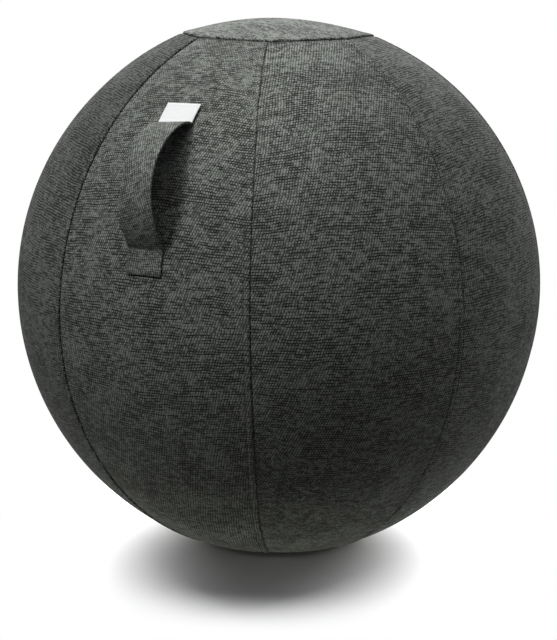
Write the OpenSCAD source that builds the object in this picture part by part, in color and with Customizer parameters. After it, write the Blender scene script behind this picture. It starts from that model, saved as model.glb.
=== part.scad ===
// Sitting ball: an inflated bladder in a zipped fabric cover with a carry handle and a ring that
// keeps it from rolling. Millimetres, +Z up, origin on the floor under the middle of the ball.
// The handle is on the front, at -Y. "Depth" is measured inwards from the cover's outer face.

/* [Ball] */
// Width of the ball across its equator
ball_w = 650; // [600:5:700]
// Radius of the curve that each side panel follows from its top edge to its lower edge
side_curve_r = 340; // [334:1:345]
// Radius of the round hole that the side panels leave underneath
base_rim_r = 103; // [98:0.5:108]
// Height of the side panels' lower edge above the floor
edge_lift = 4.5; // [4:0.1:6]

/* [Cover fabric] */
// Thickness of the woven upholstery fabric
fabric_t = 1.6; // [1:0.1:2]
// How far each side panel runs on under the panel on its left
lap_w = 10; // [6:0.5:14]
// Distance from a seam to the line of stitches beside it
stitch_inset = 7; // [5:0.5:9]
// Width of a line of stitches
stitch_w = 0.9; // [0.6:0.1:1.4]
// Height that stitches stand above the fabric
stitch_h = 0.5; // [0.3:0.1:0.8]
// Gap between the lapped layers, and between sewn layers in general
layer_gap = 0.1; // [0.05:0.05:0.2]

/* [Top panel] */
// Distance from the ball's axis to a corner of the eight-sided top panel
top_corner_r = 116.5; // [105:0.5:130]
// Height of the top panel's dome above its corners
top_dome = 18.6; // [17:0.1:20]
// How far the top panel stands above the side panels at its edge
top_lift = 0.9; // [0.5:0.1:1.4]
// Gap between the top panel's edge and the side panels
top_gap = 0.3; // [0.2:0.05:0.5]

/* [Handle] */
// Width of the handle's strap
strap_w = 44; // [38:1:50]
// Thickness of the doubled strap
strap_t = 2.4; // [2:0.1:3]
// Angle up the panel's curve at which the strap leaves its upper tab
upper_root_angle = 40.4; // [38:0.1:43]
// Angle up the panel's curve at which the strap meets its lower tab
lower_root_angle = 15.1; // [13:0.1:17]
// Length of each tab that is sewn flat to the cover
tab_len = 30; // [24:1:34]
// Distance from the tab's end to the start of the free strap
root_step = 1.6; // [1.4:0.1:2]
// Direction in which the strap leaves its upper tab, above horizontal
upper_leave = 15; // [5:1:20]
// Direction in which the strap leaves its lower tab, above horizontal
lower_leave = 53; // [48:1:58]
// How strongly the strap keeps its direction above the upper tab
upper_pull = 40; // [34:1:44]
// How strongly the strap keeps its direction above the lower tab
lower_pull = 96; // [88:1:102]
// Height above the line between the tabs where the strap stops flexing and swings as a whole
flex_h = 15; // [14:0.5:18]
// Distance from a tab's edge to the stitches that hold it
tab_stitch_inset = 3; // [2:0.5:5]
// How far the reinforcement patch inside the cover reaches past a tab
patch_margin = 6; // [4:0.5:9]
// Thickness of a reinforcement patch
patch_t = 0.8; // [0.5:0.1:1]

/* [Label] */
// Width of the woven label on the upper tab
label_w = 43; // [30:1:43]
// Thickness of the label
label_t = 0.7; // [0.4:0.1:1]
// How far the label sits to the left of the strap's middle
label_shift = 1; // [0:0.1:1]

/* [Base] */
// Thickness of the non-slip base panel
base_t = 1.4; // [1:0.1:2]
// Radius of the base panel's rounded edge
base_edge_r = 5.5; // [4.5:0.1:6]
// Width of the channel for the zip between the base panel and the side panels
channel_w = 10.5; // [10.1:0.1:12]

/* [Stabiliser ring] */
// Distance from the base's upright wall to the middle of the ring's section
ring_inset = 26.5; // [25:0.5:32]
// Width of the ring's section
ring_w = 26; // [20:1:28]
// Height of the ring's section
ring_h = 8; // [8:0.5:12]
// Thickness of the sleeve that holds the ring
sleeve_t = 0.8; // [0.5:0.1:1.2]
// Gap round soft pieces that lie in or on each other
soft_gap = 0.3; // [0.2:0.05:0.4]

/* [Bladder] */
// Wall of the inflated bladder
bladder_t = 1.2; // [0.9:0.1:1.6]
// Width of the raised line that the mould leaves round the bladder's middle
mould_line_w = 3; // [1:0.5:6]
// Bore of the valve
valve_bore_r = 4; // [3:0.25:5]
// Wall of the valve's neck
neck_wall = 2; // [1.5:0.25:3]
// Length of the valve's neck
neck_len = 21; // [15:1:30]
// Radius of the flange that is welded inside the bladder
flange_r = 16; // [13:0.5:20]
// Thickness of that flange
flange_t = 1.5; // [1:0.1:2.5]
// Gap between the plug's stem and the bore
plug_fit = 0.05; // [0.02:0.01:0.08]
// Length of the plug's stem
plug_stem = 17; // [12:0.5:20]
// Radius of the plug's head
plug_head_r = 9; // [7.5:0.5:11]
// Thickness of the plug's head
plug_head_t = 1.6; // [1.2:0.1:2.2]

/* [Zip] */
// Length of the zip's opening, as an angle round the base
zip_arc = 200; // [150:5:220]
// Thickness of the zip's tape
tape_t = 0.6; // [0.4:0.1:0.8]
// How far the outer tape lies flat past the panel edge before it turns up
tape_flat = 1; // [0.5:0.1:2]
// How far the outer tape reaches past the panel edge in all
outer_tape_w = 9; // [6:0.5:11]
// How far the inner tape reaches in past the base panel's edge
inner_tape_w = 8.5; // [5:0.5:9]
// Width of the two closed rows of teeth
chain_w = 6.2; // [5.6:0.1:6.6]
// Thickness of the teeth
chain_t = 2.6; // [2:0.1:3]
// Distance from one tooth to the next tooth of its row
tooth_pitch = 3.2; // [2.6:0.1:5]
// Width of the solid back of each row
tooth_back = 1.5; // [1.2:0.1:1.8]
// How far a tooth reaches past the middle of the zip
tooth_reach = 1.2; // [0.8:0.1:1.3]
// Side gap between closed teeth
tooth_gap = 0.15; // [0.1:0.05:0.3]

/* [Zip slider] */
// Length of the slider
slider_len = 11; // [9:0.5:13]
// Thickness of each of the slider's two plates
plate_t = 1; // [0.8:0.1:1.2]
// Gap between the slider and what it runs on
slider_gap = 0.3; // [0.2:0.05:0.35]
// Thickness of the slider's side flanges
flange_w = 1; // [0.8:0.1:1.2]
// Radius of the post that parts the teeth inside the slider
post_r = 1.2; // [0.8:0.1:1.3]
// Length of the bail that holds the pull
bail_len = 7; // [6:0.5:8]
// Width of the bail
bail_w = 2.4; // [1.6:0.1:2.6]
// Thickness of the bail
bail_t = 0.9; // [0.7:0.1:1.1]
// Diameter of the pull's cross bar
bar_d = 1; // [0.8:0.05:1.1]
// Gap round the cross bar
bar_gap = 0.15; // [0.1:0.05:0.2]
// Width of the pull
pull_w = 7; // [6:0.5:7.5]
// Length of the pull from its cross bar to its tip
pull_len = 18; // [14:0.5:19]
// Angle that a stop takes up at each end of the zip
stop_angle = 1.2; // [0.8:0.1:2]
// Angle between a stop and the end of the rows of teeth
stop_gap_angle = 0.1; // [0.05:0.05:0.2]
// Angle between the closed slider and its stop
slider_rest_angle = 0.3; // [0.2:0.05:0.5]

/* [Hidden] */
$fn = 96;

panel_count = 8;
panel_angle = 360 / panel_count;
front = -90;
far = 2 * ball_w;

// The side panels' curve has its centre past the axis, which makes the ball a little taller than wide.
curve_shift = side_curve_r - ball_w / 2;
ball_z = edge_lift + sqrt(pow(side_curve_r, 2) - pow(base_rim_r + curve_shift, 2));

// Top panel: a ball surface through its eight corners.
top_corner_z = ball_z + sqrt(pow(side_curve_r, 2) - pow(top_corner_r + curve_shift, 2));
top_curve_r = (pow(top_corner_r, 2) + pow(top_dome, 2)) / (2 * top_dome);
top_curve_z = top_corner_z + top_dome - top_curve_r;
top_edge_r = top_corner_r * cos(panel_angle / 2);

// Base and zip: everything round the zip channel is level with the tapes.
base_wall_r = base_rim_r - channel_w;
ring_mid_r = base_wall_r - ring_inset;
zip_r = (base_rim_r + base_wall_r) / 2;
tape_bend_r = base_rim_r + tape_flat;
outer_tape_r = base_rim_r + outer_tape_w;
tape_z = panel_z(tape_bend_r, fabric_t) + soft_gap;
tape_end_z = panel_z(outer_tape_r, fabric_t) + soft_gap;
tape_mid_z = tape_z + tape_t / 2;
zip_start = front + 180 - zip_arc / 2;
zip_end = zip_start + zip_arc;
turned_edge_clear = 4;
lap_low_r = outer_tape_r + turned_edge_clear;

// Bladder: it stands on the ring's sleeve.
sleeve_top = base_t + ring_h + 2 * (soft_gap + sleeve_t);
bladder_z = sleeve_top + soft_gap;
bladder_depth = 2 * fabric_t + layer_gap + soft_gap;
bladder_r = ball_w / 2 - bladder_depth;
mould_line_h = soft_gap / 2;

// Slider: two plates round the teeth, with the bail and the pull below them.
slider_angle = slider_len / zip_r * 180 / PI;
slider_start = zip_start + stop_angle + slider_rest_angle;
slider_mid = slider_start + slider_angle / 2;
slider_half_w = chain_w / 2 + slider_gap + flange_w;
plate_low = tape_mid_z - chain_t / 2 - slider_gap;
plate_high = tape_mid_z + chain_t / 2 + slider_gap;
bar_z = plate_low - plate_t - bar_gap - bar_d / 2;
bail_z = bar_z - bar_d / 2 - bar_gap;
post_angle = slider_start + 1.5 * post_r / zip_r * 180 / PI;

// Strap: a curve from the upper tab to the lower one, in the plane x = 0, as [distance out, height].
strap_mid_r = side_curve_r + layer_gap + strap_t / 2;
step_angle = root_step / side_curve_r * 180 / PI;
upper_root = on_curve(upper_root_angle - step_angle, strap_mid_r);
lower_root = on_curve(lower_root_angle + step_angle, strap_mid_r);
strap_upper_aim = upper_root + upper_pull * [cos(upper_leave), sin(upper_leave)];
strap_lower_aim = lower_root + lower_pull * [cos(lower_leave), sin(lower_leave)];
tab_angle = tab_len / side_curve_r * 180 / PI;
root_chord = norm(upper_root - lower_root);
chord_angle = atan2(upper_root[1] - lower_root[1], upper_root[0] - lower_root[0]);

// Height of a point of the side panels' lower half at a distance from the axis and a depth.
function panel_z(r, depth) = ball_z - sqrt(pow(side_curve_r - depth, 2) - pow(r + curve_shift, 2));
// Point at an angle up the panel's curve, at a radius about the curve's centre.
function on_curve(angle, r) = [r * cos(angle) - curve_shift, ball_z + r * sin(angle)];
// Point of the strap's middle line at t from 0 to 1, and its direction there.
function strap_at(t) = pow(1 - t, 3) * upper_root + 3 * pow(1 - t, 2) * t * strap_upper_aim
  + 3 * (1 - t) * pow(t, 2) * strap_lower_aim + pow(t, 3) * lower_root;
function strap_way(t) = unit(pow(1 - t, 2) * (strap_upper_aim - upper_root)
  + 2 * (1 - t) * t * (strap_lower_aim - strap_upper_aim) + pow(t, 2) * (lower_root - strap_lower_aim));
function unit(v) = v / norm(v);
function left_of(v) = [-v[1], v[0]];
function polar(r, angle) = r * [cos(angle), sin(angle)];

// Section of a layer of the side panels: its depth, its thickness, and how near the axis it ends
// below and above the equator.
module panel_section(depth, t, low_r, top_r) {
  intersection() {
    difference() {
      translate([-curve_shift, ball_z]) circle(r = side_curve_r - depth);
      translate([-curve_shift, ball_z]) circle(r = side_curve_r - depth - t);
    }
    union() {
      translate([low_r, 0]) square([far, ball_z]);
      translate([top_r, ball_z]) square([far, far]);
    }
  }
}

module panel_layer(from, to, depth, t, low_r, top_r) {
  rotate([0, 0, from]) rotate_extrude(angle = to - from) panel_section(depth, t, low_r, top_r);
}

// Piece of a layer on the front panel, between two angles up its curve, w wide.
module front_patch(low_angle, high_angle, depth, t, w, shift = 0) {
  half = (w / 2 + abs(shift)) / (ball_w / 3) * 180 / PI;
  intersection() {
    rotate([0, 0, front - half]) rotate_extrude(angle = 2 * half) intersection() {
      difference() {
        translate([-curve_shift, ball_z]) circle(r = side_curve_r - depth);
        translate([-curve_shift, ball_z]) circle(r = side_curve_r - depth - t);
      }
      polygon([[-curve_shift, ball_z], on_curve(low_angle, far), on_curve(high_angle, far)]);
    }
    translate([shift - w / 2, -far, 0]) cube([w, far, far]);
  }
}

// Space above the top panel's opening, cut from the side panel whose middle is along +X.
module top_opening() {
  translate([top_edge_r + top_gap - far, -far / 2, ball_z]) cube([far, far, far]);
}

// Side panel with its middle along +X: the visible layer, a tongue that runs on under the neighbour at
// its low-angle edge, and the fold that joins them.
module side_panel() {
  edge = panel_angle / 2;
  lap_angle = lap_w / (ball_w / 2) * 180 / PI;
  fold_angle = fabric_t / (ball_w / 2) * 180 / PI;
  under = fabric_t + layer_gap;
  top_r = top_edge_r - lap_w;
  difference() {
    union() {
      panel_layer(-edge, edge, 0, fabric_t, base_rim_r, top_r);
      panel_layer(-edge - lap_angle, -edge + 2 * fold_angle, under, fabric_t, lap_low_r, top_r);
      panel_layer(-edge + 0.5 * fold_angle, -edge + 1.5 * fold_angle, fabric_t / 2, under,
        lap_low_r + fabric_t, top_r - fabric_t);
    }
    top_opening();
  }
}

module side_panel_at(k) {
  color([0.37, 0.38, 0.37]) rotate([0, 0, front + (k - 1) * panel_angle]) side_panel();
}

module top_panel() {
  color([0.45, 0.46, 0.45]) intersection() {
    translate([0, 0, top_curve_z + top_lift]) difference() {
      sphere(r = top_curve_r);
      sphere(r = top_curve_r - fabric_t);
    }
    rotate([0, 0, panel_angle / 2]) translate([0, 0, ball_z])
      cylinder(r = top_corner_r, h = far, $fn = panel_count);
  }
}

// Lines of stitches on the left of each seam, on the panel that lies on top.
module seam_stitching() {
  color([0.25, 0.26, 0.25])
    for (k = [0 : panel_count - 1]) rotate([0, 0, front + (k + 0.5) * panel_angle]) intersection() {
      panel_layer(-panel_angle / 2, 0, -stitch_h - layer_gap, stitch_h, base_rim_r, 0);
      translate([0, -stitch_inset - stitch_w / 2, 0]) cube([far, stitch_w, far]);
      rotate([0, 0, -panel_angle / 2])
        translate([top_edge_r + top_gap, -far / 2, -far / 2]) cube([far, far, 2 * far]);
    }
}

// Dish of non-slip leatherette, with a flange sewn inside the side panels where there is no zip.
module base_panel() {
  color([0.12, 0.12, 0.12]) {
    rotate_extrude() union() {
      square([base_wall_r - base_edge_r, base_t]);
      intersection() {
        translate([base_wall_r - base_edge_r, base_edge_r]) difference() {
          circle(r = base_edge_r);
          circle(r = base_edge_r - base_t);
        }
        translate([base_wall_r - base_edge_r, 0]) square([base_edge_r, base_edge_r]);
      }
      translate([base_wall_r - base_t, base_edge_r]) square([base_t, tape_z - base_edge_r]);
    }
    rotate([0, 0, zip_end]) rotate_extrude(angle = 360 - zip_arc)
      translate([base_wall_r - base_t / 2, tape_z - layer_gap])
        square([tape_bend_r - base_wall_r + base_t / 2, base_t]);
  }
}

module ring_outline(margin) {
  w = ring_w / 2 - ring_h / 2;
  r = ring_h / 2 + margin;
  translate([ring_mid_r, base_t + sleeve_t + soft_gap + ring_h / 2]) union() {
    translate([-w, -r]) square([2 * w, 2 * r]);
    translate([-w, 0]) circle(r = r);
    translate([w, 0]) circle(r = r);
  }
}

module stabiliser_ring() {
  color([0.2, 0.2, 0.22]) rotate_extrude() ring_outline(0);
}

module ring_sleeve() {
  color([0.16, 0.16, 0.17]) rotate_extrude() difference() {
    ring_outline(soft_gap + sleeve_t);
    ring_outline(soft_gap);
  }
}

// Outline of the bladder's half section, drawn in by a margin: near the top the dome's curve bounds it.
module bladder_outline(margin) {
  intersection() {
    translate([-curve_shift, ball_z]) circle(r = side_curve_r - bladder_depth - margin);
    union() {
      translate([0, top_curve_z]) circle(r = top_curve_r - bladder_depth - margin);
      square([far, top_corner_z - 2 * bladder_depth]);
    }
    translate([0, bladder_z + margin]) square([far, far]);
  }
}

// The bladder is moulded in one, with a raised line round its middle where the mould parts.
module bladder() {
  color([0.55, 0.57, 0.6]) difference() {
    rotate_extrude() difference() {
      union() {
        bladder_outline(0);
        translate([bladder_r - bladder_t / 2, ball_z - mould_line_w / 2])
          square([bladder_t / 2 + mould_line_h, mould_line_w]);
      }
      bladder_outline(bladder_t);
    }
    translate([0, 0, bladder_z - 1]) cylinder(r = valve_bore_r + neck_wall + soft_gap, h = bladder_t + 2);
  }
}

module valve_socket() {
  color([0.85, 0.85, 0.83]) difference() {
    union() {
      translate([0, 0, bladder_z]) cylinder(r = valve_bore_r + neck_wall, h = neck_len);
      translate([0, 0, bladder_z + bladder_t + layer_gap]) cylinder(r = flange_r, h = flange_t);
    }
    translate([0, 0, bladder_z - 1]) cylinder(r = valve_bore_r, h = neck_len + 2);
  }
}

module valve_plug() {
  color([0.93, 0.93, 0.9]) union() {
    translate([0, 0, bladder_z - plug_head_t]) cylinder(r = plug_head_r, h = plug_head_t);
    translate([0, 0, bladder_z - plug_head_t]) cylinder(r = valve_bore_r - plug_fit, h = plug_head_t + plug_stem);
  }
}

// Side view of the whole free strap, and the part of it that lies past a height above its roots.
module strap_side() {
  steps = 40;
  polygon([
    for (i = [0 : steps]) strap_at(i / steps) + left_of(strap_way(i / steps)) * strap_t / 2,
    for (i = [steps : -1 : 0]) strap_at(i / steps) - left_of(strap_way(i / steps)) * strap_t / 2
  ]);
}

module past_height(h) {
  translate(lower_root) rotate(chord_angle) translate([-root_chord, -far - h]) square([3 * root_chord, far]);
}

module front_strip(w) {
  rotate([90, 0, front]) linear_extrude(height = w, center = true) children();
}

module handle_strap() {
  color([0.33, 0.34, 0.33]) front_strip(strap_w) intersection() {
    strap_side();
    past_height(flex_h);
  }
}

// The two short lengths that bend when the handle swings.
module handle_root(from_angle, to_angle) {
  color([0.33, 0.34, 0.33]) front_strip(strap_w) intersection() {
    difference() {
      strap_side();
      past_height(flex_h);
    }
    polygon([[-curve_shift, ball_z], on_curve(from_angle, far), on_curve(to_angle, far)]);
  }
}

middle_angle = (upper_root_angle + lower_root_angle) / 2;
module handle_root_upper() { handle_root(middle_angle, upper_root_angle + tab_angle); }
module handle_root_lower() { handle_root(0, middle_angle); }

module handle_tab(low_angle) {
  color([0.33, 0.34, 0.33])
    front_patch(low_angle, low_angle + tab_angle, -layer_gap - strap_t, strap_t, strap_w);
}
module handle_tab_upper() { handle_tab(upper_root_angle); }
module handle_tab_lower() { handle_tab(lower_root_angle - tab_angle); }

module handle_patch(low_angle) {
  margin = patch_margin / side_curve_r * 180 / PI;
  color([0.2, 0.2, 0.2]) front_patch(
    low_angle - margin, low_angle + tab_angle + margin, fabric_t + layer_gap, patch_t, strap_w + 2 * patch_margin
  );
}
module handle_patch_upper() { handle_patch(upper_root_angle); }
module handle_patch_lower() { handle_patch(lower_root_angle - tab_angle); }

label_depth = -strap_t - 2 * layer_gap - label_t;
module label() {
  color([0.93, 0.93, 0.91])
    front_patch(upper_root_angle, upper_root_angle + tab_angle, label_depth, label_t, label_w, -label_shift);
}

// A frame of stitches on the lower tab, and a line down each side of the label on the upper tab.
module handle_stitching() {
  inset = tab_stitch_inset / side_curve_r * 180 / PI;
  line = stitch_w / side_curve_r * 180 / PI;
  frame_low = lower_root_angle - tab_angle + inset;
  frame_high = lower_root_angle - inset;
  frame_w = strap_w - 2 * tab_stitch_inset;
  label_line = label_w / 2 - tab_stitch_inset / 2;
  color([0.22, 0.22, 0.22]) difference() {
    front_patch(frame_low, frame_high, -strap_t - 2 * layer_gap - stitch_h, stitch_h, frame_w);
    front_patch(
      frame_low + line, frame_high - line, -strap_t - 2 * layer_gap - 2 * stitch_h, 4 * stitch_h,
      frame_w - 2 * stitch_w
    );
  }
  color([0.8, 0.8, 0.78]) for (side = [-1, 1])
    front_patch(
      upper_root_angle + inset / 2, upper_root_angle + tab_angle - inset / 2,
      label_depth - layer_gap - stitch_h, stitch_h, stitch_w, side * label_line - label_shift
    );
}

module zip_sector(from, to, low_r, high_r, low_z, high_z) {
  rotate([0, 0, from]) rotate_extrude(angle = to - from) translate([low_r, low_z])
    square([high_r - low_r, high_z - low_z]);
}

module zip_tape_outer() {
  color([0.1, 0.1, 0.1]) rotate([0, 0, zip_start]) rotate_extrude(angle = zip_arc) polygon([
    [zip_r + chain_w / 2 + layer_gap, tape_z], [tape_bend_r, tape_z], [outer_tape_r, tape_end_z],
    [outer_tape_r, tape_end_z + tape_t], [tape_bend_r, tape_z + tape_t],
    [zip_r + chain_w / 2 + layer_gap, tape_z + tape_t]
  ]);
}

module zip_tape_inner() {
  color([0.1, 0.1, 0.1]) zip_sector(
    zip_start, zip_end, base_wall_r - inner_tape_w, zip_r - chain_w / 2 - layer_gap, tape_z, tape_z + tape_t
  );
}

// A row of teeth on the edge of a tape. side is 1 for the outer row and -1 for the inner one.
rail_start = zip_start + stop_angle + stop_gap_angle;
rail_end = zip_end - stop_angle - stop_gap_angle;
tooth_step = tooth_pitch / zip_r * 180 / PI;
tooth_angle = tooth_step / 2 - tooth_gap / zip_r * 180 / PI;
tooth_start = post_angle + 2 * post_r / zip_r * 180 / PI;
tooth_count = floor((rail_end - tooth_start) / tooth_step) - 1;

module teeth_row(side, first) {
  back = zip_r + side * chain_w / 2;
  face = zip_r + side * (chain_w / 2 - tooth_back);
  tip = zip_r - side * tooth_reach;
  color([0.14, 0.14, 0.14]) translate([0, 0, tape_mid_z - chain_t / 2]) linear_extrude(height = chain_t)
    polygon([
      polar(back, rail_start),
      for (i = [0 : tooth_count]) polar(back, tooth_start + i * tooth_step),
      polar(back, rail_end),
      polar(face, rail_end),
      for (i = [tooth_count : -1 : 0], p = [[face, 1], [tip, 1], [tip, 0], [face, 0]])
        polar(p[0], first + i * tooth_step + p[1] * tooth_angle),
      polar(face, rail_start)
    ]);
}
module zip_teeth_outer() { teeth_row(1, tooth_start); }
module zip_teeth_inner() { teeth_row(-1, tooth_start + tooth_step / 2); }

module zip_stops() {
  color([0.2, 0.2, 0.2]) for (from = [zip_start, zip_end - stop_angle])
    zip_sector(
      from, from + stop_angle, zip_r - chain_w / 2, zip_r + chain_w / 2,
      tape_mid_z - chain_t / 2, tape_mid_z + chain_t / 2
    );
}

// Box that lies along the zip at the slider's place: length along the zip, width across it.
module at_slider(len, w, low_z, high_z) {
  rotate([0, 0, slider_mid]) translate([zip_r - w / 2, -len / 2, low_z]) cube([w, len, high_z - low_z]);
}

module zip_slider() {
  slot_low = tape_z - slider_gap;
  slot_high = tape_z + tape_t + slider_gap;
  slider_end = slider_start + slider_angle;
  inner_r = zip_r - slider_half_w;
  outer_r = zip_r + slider_half_w;
  color([0.3, 0.3, 0.31]) union() {
    zip_sector(slider_start, slider_end, inner_r, outer_r, plate_low - plate_t, plate_low);
    zip_sector(slider_start, slider_end, inner_r, outer_r, plate_high, plate_high + plate_t);
    for (z = [[plate_low, slot_low], [slot_high, plate_high]]) {
      zip_sector(slider_start, slider_end, inner_r, inner_r + flange_w, z[0], z[1]);
      zip_sector(slider_start, slider_end, outer_r - flange_w, outer_r, z[0], z[1]);
    }
    rotate([0, 0, post_angle]) translate([zip_r, 0, plate_low - plate_t / 2])
      cylinder(r = post_r, h = plate_high - plate_low + plate_t);
    difference() {
      at_slider(bail_len, bail_w, bail_z - bail_t, plate_low - plate_t / 2);
      at_slider(bail_len - 2 * bail_t, 2 * bail_w, bail_z, plate_low - plate_t);
    }
  }
}

// Pull: a flat tab with an eye, whose cross bar lies in the bail.
module zip_pull() {
  eye_room = 0.4;
  eye_past_bail = 1.5;
  eye_len = bail_len / 2 + eye_past_bail;
  eye_w = bail_w + 2 * bar_gap + eye_room;
  color([0.3, 0.3, 0.31]) rotate([0, 0, slider_mid]) translate([zip_r, 0, bar_z]) union() {
    rotate([0, 90, 0]) cylinder(d = bar_d, h = pull_w, center = true);
    difference() {
      translate([-pull_w / 2, 0, -bar_d / 2]) cube([pull_w, pull_len - pull_w / 2, bar_d]);
      translate([-eye_w / 2, -1, -bar_d]) cube([eye_w, eye_len + 1, 2 * bar_d]);
    }
    translate([0, pull_len - pull_w / 2, -bar_d / 2]) cylinder(d = pull_w, h = bar_d);
  }
}

side_panel_at(1);  // side_panel_1
side_panel_at(2);  // side_panel_2
side_panel_at(3);  // side_panel_3
side_panel_at(4);  // side_panel_4
side_panel_at(5);  // side_panel_5
side_panel_at(6);  // side_panel_6
side_panel_at(7);  // side_panel_7
side_panel_at(8);  // side_panel_8
top_panel();
base_panel();
seam_stitching();
handle_strap();
handle_root_upper();
handle_root_lower();
handle_tab_upper();
handle_tab_lower();
handle_stitching();
handle_patch_upper();
handle_patch_lower();
label();
stabiliser_ring();
ring_sleeve();
bladder();
valve_socket();
valve_plug();
zip_tape_outer();
zip_tape_inner();
zip_teeth_outer();
zip_teeth_inner();
zip_stops();
zip_slider();
zip_pull();
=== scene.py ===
# %% [markdown]
# # A sitting ball, dressed round its frame
#
# The real thing is an inflated ball in a zipped cover of dark grey melange upholstery weave. Eight
# side panels meet at a top panel, a carry handle is sewn to the front one, and a leatherette base
# with a filled ring in it stands on the floor. The frame gives every piece's size and place, so
# this lesson only makes surfaces and finishes: nothing is moved or scaled.

# %% Load the frame
import math

import bpy
import numpy as np
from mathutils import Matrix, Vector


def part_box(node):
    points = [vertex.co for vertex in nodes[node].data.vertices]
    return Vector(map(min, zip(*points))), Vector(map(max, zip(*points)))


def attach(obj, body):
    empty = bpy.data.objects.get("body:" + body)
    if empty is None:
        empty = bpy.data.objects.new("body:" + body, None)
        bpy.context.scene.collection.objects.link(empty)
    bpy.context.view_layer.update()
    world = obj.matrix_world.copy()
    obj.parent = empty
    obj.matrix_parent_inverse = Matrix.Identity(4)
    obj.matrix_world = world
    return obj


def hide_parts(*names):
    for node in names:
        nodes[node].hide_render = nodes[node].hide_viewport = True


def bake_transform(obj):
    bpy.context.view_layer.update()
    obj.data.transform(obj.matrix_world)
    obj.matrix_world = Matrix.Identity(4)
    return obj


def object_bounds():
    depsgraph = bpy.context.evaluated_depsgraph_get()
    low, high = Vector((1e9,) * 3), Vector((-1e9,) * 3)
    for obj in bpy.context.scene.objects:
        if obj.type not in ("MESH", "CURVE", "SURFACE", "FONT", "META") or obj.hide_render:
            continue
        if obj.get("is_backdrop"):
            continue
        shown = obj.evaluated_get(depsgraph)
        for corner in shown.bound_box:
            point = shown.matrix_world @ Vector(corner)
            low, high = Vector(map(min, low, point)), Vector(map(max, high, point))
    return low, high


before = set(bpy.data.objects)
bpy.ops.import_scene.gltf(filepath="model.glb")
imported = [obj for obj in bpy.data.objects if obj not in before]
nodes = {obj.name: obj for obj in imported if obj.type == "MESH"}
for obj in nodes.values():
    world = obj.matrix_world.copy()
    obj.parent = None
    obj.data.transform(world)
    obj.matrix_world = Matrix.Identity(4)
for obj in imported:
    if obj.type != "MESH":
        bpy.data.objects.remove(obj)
cad_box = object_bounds()

# %% [markdown]
# ## The ball's own curve
#
# Each side panel follows one circle, whose centre lies a little behind the ball's axis, so the ball
# is slightly taller than it is wide. Reading the ball's width and lowest edge from the frame gives
# that circle, and every surface below is worked out from it.

# %% The ball's sizes, read from the frame
MM = 0.001
PANELS = 8
PANEL_ANGLE = math.tau / PANELS
FRONT = -math.pi / 2
CURVE_R = 340 * MM
RIM_R = 103 * MM
BALL_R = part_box("side_panel_3")[1].x
CURVE_SHIFT = CURVE_R - BALL_R
BALL_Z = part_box("side_panel_3")[0].z + math.sqrt(CURVE_R**2 - (RIM_R + CURVE_SHIFT) ** 2)
TOP_EDGE_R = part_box("top_panel")[1].x
TOP_CORNER_R = TOP_EDGE_R / math.cos(PANEL_ANGLE / 2)
TOP_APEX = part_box("top_panel")[1].z
TOP_DOME = 18.6 * MM
TOP_CURVE_R = (TOP_CORNER_R**2 + TOP_DOME**2) / (2 * TOP_DOME)
print(f"ball {2000 * BALL_R:.0f} mm wide, centre {1000 * BALL_Z:.1f} mm up, top {1000 * TOP_APEX:.1f} mm")

# %% [markdown]
# ## The camera
#
# The photograph was taken from about two metres with a long lens, a little above the ball's middle.
# The camera aims at the ball's centre, and a small shift puts that centre where the photograph has
# it, because tilting the camera instead would change the perspective.

# %% Camera
VIEW_AZIMUTH = math.radians(27.94)
VIEW_ELEVATION = math.radians(10.18)
VIEW_DISTANCE = 2.214
LENS = 98.9
SHIFT_UP = 0.0554


def make_camera():
    """A camera at distance d from the ball's centre: centre + d * (sin a cos e, -cos a cos e, sin e)."""
    data = bpy.data.cameras.new("camera")
    camera = bpy.data.objects.new("camera", data)
    bpy.context.scene.collection.objects.link(camera)
    flat = math.cos(VIEW_ELEVATION)
    back = np.array([math.sin(VIEW_AZIMUTH) * flat, -math.cos(VIEW_AZIMUTH) * flat, math.sin(VIEW_ELEVATION)])
    camera.location = np.array([0, 0, BALL_Z]) + VIEW_DISTANCE * back
    camera.rotation_euler = (math.pi / 2 - VIEW_ELEVATION, 0, VIEW_AZIMUTH)
    data.lens = LENS
    data.sensor_width = 36
    data.shift_y = -SHIFT_UP
    bpy.context.scene.camera = camera
    return camera


camera = make_camera()
print("camera at", [round(x, 3) for x in camera.location])

# %% [markdown]
# ## Node helpers
#
# A material is a graph. A few small helpers keep the graphs readable: one adds a node and sets or
# links its inputs, others chain maths, noise and colours, and the last two open a node group with
# named sockets and place it in a material.

# %% Helpers for shader graphs
def wire(tree, kind, inputs=(), **settings):
    """Add a shader node, set its properties, and set or link its inputs. Returns the node."""
    node = tree.nodes.new("ShaderNode" + kind)
    for name, value in settings.items():
        setattr(node, name, value)
    for key, value in dict(inputs).items():
        if isinstance(value, bpy.types.NodeSocket):
            tree.links.new(value, node.inputs[key])
        else:
            node.inputs[key].default_value = value
    return node


def maths(tree, operation, *values):
    """One maths node on up to three values or sockets. Returns its result."""
    return wire(tree, "Math", enumerate(values), operation=operation).outputs[0]


def times(tree, a, b):
    """The product of two values or sockets."""
    return maths(tree, "MULTIPLY", a, b)


def plus(tree, a, b):
    """The sum of two values or sockets."""
    return maths(tree, "ADD", a, b)


def ramp(tree, value, low, high, out_low=0.0, out_high=1.0):
    """Carry value smoothly from low..high to out_low..out_high. Returns the result."""
    inputs = {"Value": value, "From Min": low, "From Max": high, "To Min": out_low, "To Max": out_high}
    return wire(tree, "MapRange", inputs, interpolation_type="SMOOTHSTEP").outputs["Result"]


def noise(tree, vector, scale, detail=2.0, roughness=0.5):
    """Noise at a vector. Returns its grey value, about 0.5 on average."""
    inputs = {"Vector": vector, "Scale": scale, "Detail": detail, "Roughness": roughness}
    return wire(tree, "TexNoise", inputs).outputs[0]


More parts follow.
